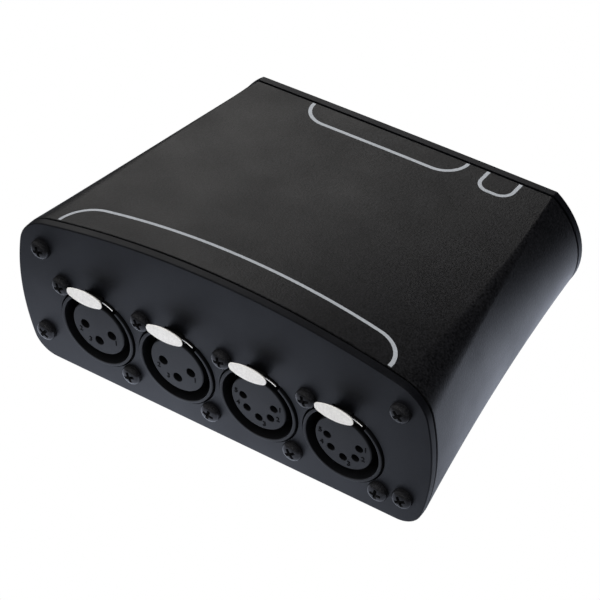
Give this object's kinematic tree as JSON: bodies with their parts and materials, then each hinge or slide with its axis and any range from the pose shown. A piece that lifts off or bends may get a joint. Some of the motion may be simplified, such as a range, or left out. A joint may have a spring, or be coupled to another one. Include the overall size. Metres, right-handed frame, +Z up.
{
  "type": "dmx splitter",
  "caption": "Tapered desktop box with latching female signal outputs along its arched front plate and male inputs and a power jack on its low rear plate.",
  "frame": {"origin": "on the surface that the feet rest on, under the middle of the bounding box", "axes": "+X to the right seen from the front, +Y from the front plate to the rear plate, +Z up"},
  "size_m": [0.121, 0.0934, 0.053],
  "materials": {
    "case_paint": "fine-grained satin, warm black",
    "plate_paint": "satin, cool black",
    "rubber": "matte",
    "black_screw": "black oxide, semi-gloss",
    "connector_black": "satin moulded",
    "latch_silver": "bright satin plating",
    "spring_steel": "bright wire",
    "board_green": "green solder mask",
    "module_black": "matte moulded",
    "capacitor_foil": "glossy foil",
    "ferrite": "matte grey"
  },
  "bodies": {
    "case": {"case_sleeve": "case_paint", "front_plate": "plate_paint", "rear_plate": "plate_paint", "foot_1": "rubber", "foot_2": "rubber", "foot_3": "rubber", "foot_4": "rubber", "front_plate_screw_1": "black_screw", "front_plate_screw_2": "black_screw", "front_plate_screw_3": "black_screw", "front_plate_screw_4": "black_screw", "rear_plate_screw_1": "black_screw", "rear_plate_screw_2": "black_screw", "rear_plate_screw_3": "black_screw", "rear_plate_screw_4": "black_screw", "output_1_shell": "connector_black", "output_1_insert": "connector_black", "output_1_screw_1": "black_screw", "output_1_screw_2": "black_screw", "output_2_shell": "connector_black", "output_2_insert": "connector_black", "output_2_screw_1": "black_screw", "output_2_screw_2": "black_screw", "output_3_shell": "connector_black", "output_3_insert": "connector_black", "output_3_screw_1": "black_screw", "output_3_screw_2": "black_screw", "output_4_shell": "connector_black", "output_4_insert": "connector_black", "output_4_screw_1": "black_screw", "output_4_screw_2": "black_screw", "input_1_shell": "connector_black", "input_1_pins": "connector_black", "input_1_screw_1": "black_screw", "input_1_screw_2": "black_screw", "input_2_shell": "connector_black", "input_2_pins": "connector_black", "input_2_screw_1": "black_screw", "input_2_screw_2": "black_screw", "power_jack": "connector_black", "power_jack_pin": "spring_steel", "main_board": "board_green", "converter_1": "module_black", "driver_1": "module_black", "converter_2": "module_black", "driver_2": "module_black", "converter_3": "module_black", "driver_3": "module_black", "converter_4": "module_black", "driver_4": "module_black", "bulk_capacitor": "capacitor_foil", "power_choke": "ferrite"},
    "latch_1": {"output_1_latch": "latch_silver", "output_1_latch_spring": "spring_steel"},
    "latch_2": {"output_2_latch": "latch_silver", "output_2_latch_spring": "spring_steel"},
    "latch_3": {"output_3_latch": "latch_silver", "output_3_latch_spring": "spring_steel"},
    "latch_4": {"output_4_latch": "latch_silver", "output_4_latch_spring": "spring_steel"}
  },
  "joints": [
    {"name": "output_1_latch_hinge", "type": "hinge", "parent": "case", "child": "latch_1", "pos_m": [-0.0363, -0.0379, 0.0342], "axis": [1, 0, 0], "range_deg": [0, 6.5], "stiffness_Nm_per_rad": 0.05, "springref_deg": -28.65},
    {"name": "output_2_latch_hinge", "type": "hinge", "parent": "case", "child": "latch_2", "pos_m": [-0.0121, -0.0379, 0.0342], "axis": [1, 0, 0], "range_deg": [0, 6.5], "stiffness_Nm_per_rad": 0.05, "springref_deg": -28.65},
    {"name": "output_3_latch_hinge", "type": "hinge", "parent": "case", "child": "latch_3", "pos_m": [0.0121, -0.0379, 0.0342], "axis": [1, 0, 0], "range_deg": [0, 6.5], "stiffness_Nm_per_rad": 0.05, "springref_deg": -28.65},
    {"name": "output_4_latch_hinge", "type": "hinge", "parent": "case", "child": "latch_4", "pos_m": [0.0363, -0.0379, 0.0342], "axis": [1, 0, 0], "range_deg": [0, 6.5], "stiffness_Nm_per_rad": 0.05, "springref_deg": -28.65}
  ]
}
